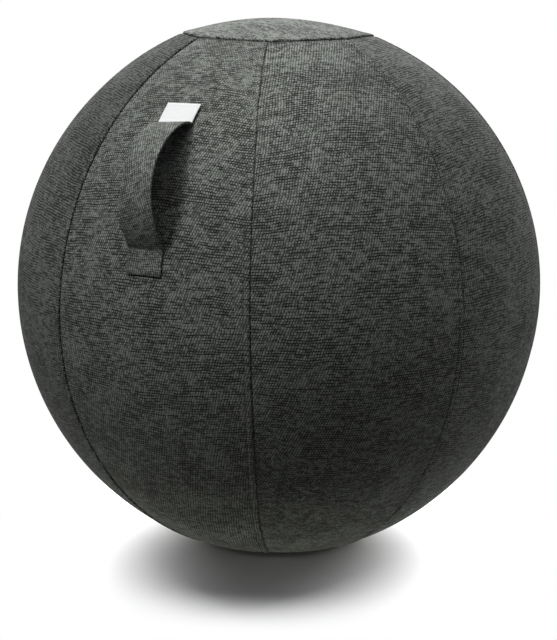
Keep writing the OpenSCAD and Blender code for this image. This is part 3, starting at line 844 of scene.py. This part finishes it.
# %% Label
LABEL_T = 0.7 * MM
LABEL_HALF = 21.5 * MM
LABEL_STITCH_X = 19.8 * MM
LABEL_FOLD = 0.15 * MM
LABEL_X = -0.3 * MM
LABEL_LEAN = 1.8 * MM
label_top = TAB_TOP + LABEL_T
label_angles = (UPPER_ANGLE - 0.0015, UPPER_ANGLE + LABEL_ANGLE)
label_tape = label_material()
label = patch_sheet(
    "label_tab", LABEL_HALF, LABEL_X, label_angles, label_top, label_tape, 0.5 * MM, LABEL_FOLD, LABEL_LEAN,
)
thicken(label, LABEL_T * 0.8)
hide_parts("label")
label_runs = [
    straight(x, x + LABEL_LEAN, label_angles[0] + 0.004, label_angles[1] - 0.004, label_top + 0.1 * MM)
    for x in (LABEL_X - LABEL_STITCH_X, LABEL_X + LABEL_STITCH_X)
]
label_stitches = stitches("label_stitches", label_runs, pale_thread, 0.2 * MM)
print("label and its stitches made")

# %% [markdown]
# ## Patches inside the cover
#
# A strong patch lies inside the cover behind each end of the handle and spreads its pull. Nobody
# sees them on the finished ball, but they are separate pieces, so they get their own plain cloth.

# %% Patches
lining_cloth = cloth_material(
    "lining_cloth", relief=0.2 * MM, Column=1.1 * MM, Row=1.1 * MM, Gaps=0.4, Patches=0.3,
    Light=(0.10, 0.10, 0.10, 1), Dark=(0.03, 0.03, 0.03, 1),
)
PATCH_MARGIN = 6 * MM
PATCH_HALF = STRAP_W / 2 + PATCH_MARGIN
PATCH_DEPTH = 1.7 * MM
for name, angle in (("upper", UPPER_ANGLE), ("lower", LOWER_ANGLE - TAB_ANGLE)):
    spread = PATCH_MARGIN / CURVE_R
    ends = (angle - spread, angle + TAB_ANGLE + spread)
    patch = patch_sheet("patch_" + name, PATCH_HALF, 0, ends, -PATCH_DEPTH, lining_cloth, 5 * MM)
    thicken(patch, 0.8 * MM)
    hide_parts("handle_patch_" + name)

# %% [markdown]
# ## The base
#
# The ball stands on a round base of pebble-grained leatherette, which doesn't slip. Its edge turns up
# in a soft round. At the front a flange is sewn to the side panels; round the back the edge ends in a
# rolled hem with the zip beside it. One profile turned round the axis, with the flange drawn in where
# the zip runs, keeps it one sheet.

# %% A profile turned round the axis
WALL_R = 92.5 * MM


def turned(name, profile, azimuth, material):
    """A profile of (r, z), one or one per azimuth, turned round the axis; a face closes each end."""
    if profile.ndim == 2:
        profile = np.repeat(profile[:, None], len(azimuth), 1)
    r, z = profile[..., 0], profile[..., 1]
    points = np.stack([r * np.cos(azimuth), r * np.sin(azimuth), z], -1)
    flat = np.stack([azimuth * WALL_R + 0 * r, run_length(profile.mean(1))[:, None] + 0 * r], -1)
    piece = place_mesh(name, points.reshape(-1, 3), tube_faces(*r.shape), material, flat.reshape(-1, 2))
    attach(piece, "cover")
    return piece


# %% Leatherette
def leatherette():
    """Pebble grain: the smooth distance to the nearest of many scattered points, roughened by fine noise."""
    material, tree, output = new_material("leatherette")
    place = wire(tree, "TexCoord").outputs["Object"]
    scatter = wire(tree, "TexVoronoi", {"Vector": place, "Scale": 620.0}, feature="SMOOTH_F1")
    pebble = scatter.outputs["Distance"]
    fine = noise(tree, place, 2600.0, 3.0)
    wear = noise(tree, place, 30.0, 3.0)
    height = plus(tree, times(tree, pebble, -1.0), times(tree, fine, 0.2))
    between = ramp(tree, pebble, 0.1, 0.6)
    principled(tree, output, {
        "Base Color": mix_colour(tree, between, (0.030, 0.031, 0.030, 1), (0.012, 0.012, 0.012, 1)),
        "Roughness": ramp(tree, wear, 0.3, 0.7, 0.48, 0.64),
        "Normal": bump(tree, height, 0.7, 0.35 * MM), "Specular IOR Level": 0.4,
    })
    return material


leather = leatherette()
print("leatherette:", len(leather.node_tree.nodes), "nodes")

# %% Base panel
BASE_T = 1.4 * MM
EDGE_R = 5.5 * MM
ZIP_START, ZIP_END = math.radians(-10), math.radians(190)
FLANGE_FROM, FLANGE_TO = math.radians(99.2), math.radians(100.6)


def base_profile(turn):
    """Two profiles of equal length, with the flange and with a hem, mixed by where the zip runs."""
    arc = np.linspace(0, math.pi / 2, 12)
    under = [[r, 0] for r in np.array([2, 20, 40, 60, 78, 84]) * MM]
    bend, inner = [
        np.stack([WALL_R - EDGE_R + radius * np.sin(arc), EDGE_R - radius * np.cos(arc)], -1)
        for radius in (EDGE_R, EDGE_R - BASE_T)
    ]
    flange = np.array([
        [92.5, 6.2], [92.8, 6.6], [93.6, 6.78], [97, 6.78], [101, 6.78], [103.5, 6.80],
        [103.95, 7.05], [104, 7.48], [103.95, 7.9], [103.5, 8.17], [101, 8.18], [97, 8.18],
        [93, 8.18], [91.8, 8.0], [91.2, 7.4], [91.1, 6.4],
    ]) * MM
    hem_turn = np.linspace(-0.2 * math.pi, 1.2 * math.pi, 16)
    hem = np.stack([91.8 + 0.72 * np.cos(hem_turn), 6.2 + 0.68 * np.sin(hem_turn)], -1) * MM
    middle = 0.5 * (ZIP_START + ZIP_END)
    from_zip = np.abs((turn - middle + math.pi) % math.tau - math.pi)
    share = smoothstep(FLANGE_FROM, FLANGE_TO, from_zip)[None, :, None]
    edge = hem[:, None] * (1 - share) + flange[:, None] * share
    fixed = [np.repeat(np.asarray(part)[:, None], len(turn), 1) for part in (under, bend, inner[::-1])]
    top = np.repeat((np.array([[80, 1.4], [60, 1.4], [30, 1.4], [2, 1.4]]) * MM)[:, None], len(turn), 1)
    return np.concatenate([fixed[0], fixed[1], edge, fixed[2], top])


base_turn = np.linspace(0, math.tau, 360, endpoint=False)
base = turned("base", base_profile(base_turn), base_turn, leather)
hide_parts("base_panel")
print("base:", len(base.data.polygons), "faces")

# %% [markdown]
# ## Zip tapes
#
# Each half of the zip is a woven tape that carries its row of teeth on one edge. The outer tape
# follows the cover's slope up inside it, the inner one lies flat inside the base's hem.

# %% Zip tapes
tape_cloth = cloth_material(
    "zip_tape_cloth", relief=0.15 * MM, Column=0.9 * MM, Row=1.3 * MM, Gaps=0.6, Patches=0.2, Loose=0.2,
    Light=(0.06, 0.062, 0.06, 1), Dark=(0.015, 0.015, 0.014, 1),
)


def tape(name, line):
    """A band 0.6 mm thick along a line of (r, z) in mm, turned over the zip's arc, with closed ends."""
    line = np.array(line) * MM
    way = unit(np.gradient(line, axis=0))
    normal = np.stack([-way[:, 1], way[:, 0]], -1) * 0.3 * MM
    loop = np.concatenate([line + normal, (line - normal)[::-1]])
    turn = np.linspace(ZIP_START, ZIP_END, 260)
    r, z = loop[None, :, 0], loop[None, :, 1] + 0 * turn[:, None]
    points = np.stack([r * np.cos(turn)[:, None], r * np.sin(turn)[:, None], z], -1)
    flat = np.stack([turn[:, None] * 0.1 + 0 * z, run_length(loop)[None, :] + 0 * z], -1)
    faces = [face[::-1] for face in tube_faces(*z.shape)]
    piece = place_mesh(name, points.reshape(-1, 3), faces, tape_cloth, flat.reshape(-1, 2))
    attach(piece, "cover")
    return piece


slope_line = [[101, 7.18], [102.5, 7.18], [104, 7.2], [105, 7.5], [108, 8.7], [111.8, 10.2]]
outer_tape = tape("outer_tape", slope_line)
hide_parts("zip_tape_outer")
inner_tape = tape("inner_tape", [[84.4, 7.18], [88, 7.18], [91, 7.18], [94.5, 7.18]])
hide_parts("zip_tape_inner")
print("tapes made")

# %% [markdown]
# ## Sleeve and bladder
#
# The weight ring lies in a sleeve of lining cloth, gathered a little where it goes round the inside.
# The bladder is a moulded vinyl ball that fills the cover: tight, slightly glossy, with a fine line
# where the mould parts. Neither is seen with the cover closed.

# %% Ring sleeve
SLEEVE_R = 66 * MM
SLEEVE_Z = 6.5 * MM
SLEEVE_HALF = 9 * MM
SLEEVE_END = 5.1 * MM


def ring_sleeve():
    """A stadium section round the axis: two flat runs and two half circles, with gathers that go inwards."""
    turn = np.linspace(0, math.tau, 300, endpoint=False)
    end = np.linspace(-math.pi / 2, math.pi / 2, 15)
    half_circle = np.stack([SLEEVE_HALF + SLEEVE_END * np.cos(end), SLEEVE_END * np.sin(end)], -1)
    run = np.linspace(SLEEVE_HALF, -SLEEVE_HALF, 8)[1:-1]
    flat_run = np.stack([run, np.full(6, SLEEVE_END)], -1)
    half_loop = np.concatenate([half_circle, flat_run])
    centre = np.array([SLEEVE_R, SLEEVE_Z])
    loop = np.concatenate([centre + half_loop, centre - half_loop])
    inward = unit(centre - loop)[:, None]
    wave = 0.5 + 0.5 * np.sin(46 * turn + 2.1 * np.sin(5 * turn))
    depth = 0.22 * MM * wave * smoothstep(76 * MM, 56 * MM, loop[:, :1])
    profile = loop[:, None] + inward * depth[..., None]
    r, z = profile[..., 0], profile[..., 1]
    points = np.stack([r * np.cos(turn), r * np.sin(turn), z], -1)
    rows, columns = r.shape
    length = np.linspace(0, 0.068, rows)
    flat = np.stack([turn * 0.066 + 0 * r, length[:, None] + 0 * r], -1)
    faces = np.concatenate([grid_faces(rows, columns, wrap=True), ring_joint(rows, columns)])
    piece = place_mesh("sleeve", points.reshape(-1, 3), faces, lining_cloth, flat.reshape(-1, 2))
    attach(piece, "cover")
    return thicken(piece, 0.7 * MM)


def ring_joint(rows, columns):
    """Quads that join the last row of a wrapped grid to its first."""
    left = np.arange(columns)
    right = (left + 1) % columns
    last = (rows - 1) * columns
    return np.stack([last + left, last + right, right, left], -1)


sleeve = ring_sleeve()
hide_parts("ring_sleeve")
print("sleeve made")

# %% Bladder
BLADDER_DEPTH = 3.6 * MM
MOULD_LINE = 0.15 * MM
BLADDER_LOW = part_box("bladder")[0].z
BLADDER_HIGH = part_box("bladder")[1].z


def bladder_profile():
    """Flat where it rests, the side curve with a mould line round its middle, and a shallow dome."""
    curve = CURVE_R - BLADDER_DEPTH
    low = math.asin((BLADDER_LOW - BALL_Z) / curve)
    dome = TOP_CURVE_R - BLADDER_DEPTH
    dome_z = BLADDER_HIGH - dome
    t = np.linspace(low, math.radians(80), 4000)
    side = np.stack([curve * np.cos(t) - CURVE_SHIFT, curve * np.sin(t) + BALL_Z], -1)
    under_dome = np.hypot(side[:, 0], side[:, 1] - dome_z) < dome
    stop = np.argmin(under_dome | (side[:, 1] < BALL_Z))
    edge_r = side[stop, 0]
    rows = np.linspace(low, t[stop], 150)
    side = np.stack([curve * np.cos(rows) - CURVE_SHIFT, curve * np.sin(rows) + BALL_Z], -1)
    side[:, 0] += MOULD_LINE * np.exp(-(((side[:, 1] - BALL_Z) / (1.5 * MM)) ** 4))
    cap_r = edge_r * np.linspace(0.98, 0.015, 26)
    cap = np.stack([cap_r, dome_z + np.sqrt(dome**2 - cap_r**2)], -1)
    foot_r = side[0, 0] * np.linspace(0.015, 0.985, 16)
    foot = np.stack([foot_r, np.full(16, BLADDER_LOW)], -1)
    return np.concatenate([foot, side, cap])


vinyl = plain_material(
    "bladder_vinyl", (0.30, 0.32, 0.35), 0.38, grain=700.0, relief=0.05 * MM, vary=0.05, level=0.5,
)
bladder_turn = np.linspace(0, math.tau, 256, endpoint=False)
bladder = turned("bladder_skin", bladder_profile(), bladder_turn, vinyl)
settle(bladder)
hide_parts("bladder")
print("bladder:", len(bladder.data.polygons), "faces")

# %% [markdown]
# ## Finishes of the plain CAD pieces
#
# The ring, the valve and the zip's teeth, stops, slider and pull have their right shape already.
# They keep it and get finishes of their own: filled rubber, moulded plastic, and burnished metal.

# %% Finishes
finishes = {
    # name, colour, roughness, metallic, grain, relief, how much the shade varies, specular level
    "stabiliser_ring": ("ring_rubber", (0.020, 0.020, 0.020), 0.75, 0.0, 500.0, 0.2 * MM, 0.12, 0.3),
    "valve_socket": ("valve_clear_plastic", (0.62, 0.63, 0.62), 0.35, 0.0, 300.0, 0.02 * MM, 0.12, 0.5),
    "valve_plug": ("valve_white_plastic", (0.80, 0.80, 0.78), 0.40, 0.0, 300.0, 0.02 * MM, 0.12, 0.5),
    "zip_teeth_outer": ("teeth_plastic", (0.030, 0.030, 0.030), 0.42, 0.0, 1500.0, 0.03 * MM, 0.12, 0.3),
    "zip_slider": ("burnished_metal", (0.16, 0.16, 0.165), 0.34, 0.9, 800.0, 0.03 * MM, 0.15, 0.5),
}
finishes = {name: plain_material(*values) for name, values in finishes.items()}
shared = {"zip_teeth_inner": "zip_teeth_outer", "zip_stops": "zip_teeth_outer", "zip_pull": "zip_slider"}
for name in [*finishes, *shared]:
    for slot in nodes[name].material_slots:
        slot.material = finishes[shared.get(name, name)]
print("finishes on", len(finishes) + len(shared), "CAD pieces")

# %% [markdown]
# ## Floor, background and light
#
# The photograph's background is plain white with one soft shadow in front of the ball: the floor is
# so bright that only the shadow's darkest part shows. So the floor has a wide, strong lamp of its
# own behind the ball, by light linking, and turns to even white further out. To rays that light
# other things it only glows faintly round the foot of the ball, because light from all of it would
# be far too much.
#
# The ball's own lamps stand in front on the left, which throws the handle's shadow to its right,
# nearly overhead, behind, and low on the right. Their strengths come from a fit to the shading of
# the cover in the photograph.

# %% Floor
FLOOR_R = 6.0
FLOOR_WHITE_FROM, FLOOR_WHITE_TO = 0.228, 0.369
GLOW_PLACE = (-0.08, -0.04, 0)


def seen_rays(tree):
    """1 for rays that show the background: camera, glossy and transmission rays."""
    path = wire(tree, "LightPath").outputs
    mirrored = maths(tree, "MAXIMUM", path["Is Glossy Ray"], path["Is Transmission Ray"])
    return maths(tree, "MAXIMUM", path["Is Camera Ray"], mirrored)


def make_floor():
    """A square with a shadow-catching middle that turns to even white between two radii; clear from below."""
    material, tree, output = new_material("floor")
    seen = seen_rays(tree)
    place = wire(tree, "TexCoord").outputs["Object"]
    radius = wire(tree, "VectorMath", {0: place}, operation="LENGTH").outputs["Value"]
    white = wire(tree, "Emission", {"Color": (1, 1, 1, 1), "Strength": 1.0}).outputs[0]
    paper = wire(tree, "BsdfDiffuse", {"Color": (0.9, 0.9, 0.9, 1)}).outputs[0]
    foot = wire(tree, "VectorMath", {0: place, 1: GLOW_PLACE}, operation="DISTANCE").outputs["Value"]
    near = ramp(tree, foot, 0.2, 0.5, 0.43, 0.0)
    glow = wire(tree, "Emission", {"Color": (1, 1, 0.90, 1), "Strength": near}).outputs[0]
    even = ramp(tree, radius, FLOOR_WHITE_FROM, FLOOR_WHITE_TO)
    shown = wire(tree, "MixShader", {0: even, 1: paper, 2: white}).outputs[0]
    both = wire(tree, "MixShader", {0: seen, 1: glow, 2: shown}).outputs[0]
    below = wire(tree, "NewGeometry").outputs["Backfacing"]
    clear = wire(tree, "BsdfTransparent").outputs[0]
    both = wire(tree, "MixShader", {0: below, 1: both, 2: clear}).outputs[0]
    tree.links.new(both, output.inputs["Surface"])
    corner = FLOOR_R * np.array([[-1, -1, 0], [1, -1, 0], [1, 1, 0], [-1, 1, 0]])
    floor = place_mesh("floor", corner, np.array([[0, 1, 2, 3]]), material)
    floor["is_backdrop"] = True
    return floor


floor = make_floor()
print("floor", 2 * FLOOR_R, "m wide")

# %% World
def make_world():
    """A dim even world that shows as white."""
    world = bpy.data.worlds.new("studio")
    bpy.context.scene.world = world
    world.use_nodes = True
    tree = world.node_tree
    tree.nodes.clear()
    dim = wire(tree, "Background", {"Color": (0.96, 0.98, 1, 1), "Strength": 0.14}).outputs[0]
    white = wire(tree, "Background", {"Color": (1, 1, 1, 1), "Strength": 1.0}).outputs[0]
    both = wire(tree, "MixShader", {0: seen_rays(tree), 1: dim, 2: white}).outputs[0]
    output = tree.nodes.new("ShaderNodeOutputWorld")
    tree.links.new(both, output.inputs["Surface"])


make_world()
print("world:", bpy.context.scene.world.name)

# %% Lamps
def make_lamp(name, size, power, azimuth, elevation, distance):
    """A square lamp at an azimuth and elevation, in degrees, from the ball's centre, aimed at it."""
    data = bpy.data.lights.new(name, "AREA")
    data.shape = "SQUARE"
    data.size = size
    data.energy = power
    lamp = bpy.data.objects.new(name, data)
    bpy.context.scene.collection.objects.link(lamp)
    azimuth, elevation = math.radians(azimuth), math.radians(elevation)
    flat = distance * math.cos(elevation)
    high = BALL_Z + distance * math.sin(elevation)
    lamp.location = (flat * math.cos(azimuth), flat * math.sin(azimuth), high)
    lamp.rotation_euler = (math.pi / 2 - elevation, 0, azimuth + math.pi / 2)
    return lamp


ball_lamps = [
    make_lamp("key_lamp", 0.35, 20.8, -105, 43, 2.2),
    make_lamp("top_lamp", 1.2, 12.5, -60, 80, 2.2),
    make_lamp("back_lamp", 1.5, 50, 118, 50, 2.2),
    make_lamp("side_lamp", 1.5, 13, 28, 5, 2.2),
]
floor_lamp = make_lamp("floor_lamp", 5.1, 900, 110, 40, 1.8)
floor_lamp.visible_camera = False


def light_only(lamp, target, state, name):
    """Limit a lamp by light linking: INCLUDE lights only the target, EXCLUDE all but it."""
    group = bpy.data.collections.new(name)
    group.objects.link(target)
    group.collection_objects[0].light_linking.link_state = state
    lamp.light_linking.receiver_collection = group


light_only(floor_lamp, floor, "INCLUDE", "lit_by_floor_lamp")
for lamp in ball_lamps:
    light_only(lamp, floor, "EXCLUDE", "not_lit_by_" + lamp.name)
print("lamps on the ball:", len(ball_lamps), "and one on the floor")

# %% Finish
scene = bpy.context.scene
scene.view_settings.view_transform = "Standard"
visual_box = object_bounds()
for axis, *sides in zip("xyz", *visual_box, *cad_box):
    low, high, cad_low, cad_high = [1000 * side for side in sides]
    print(f"{axis}: visual {low:.1f} to {high:.1f} mm, frame {cad_low:.1f} to {cad_high:.1f} mm")
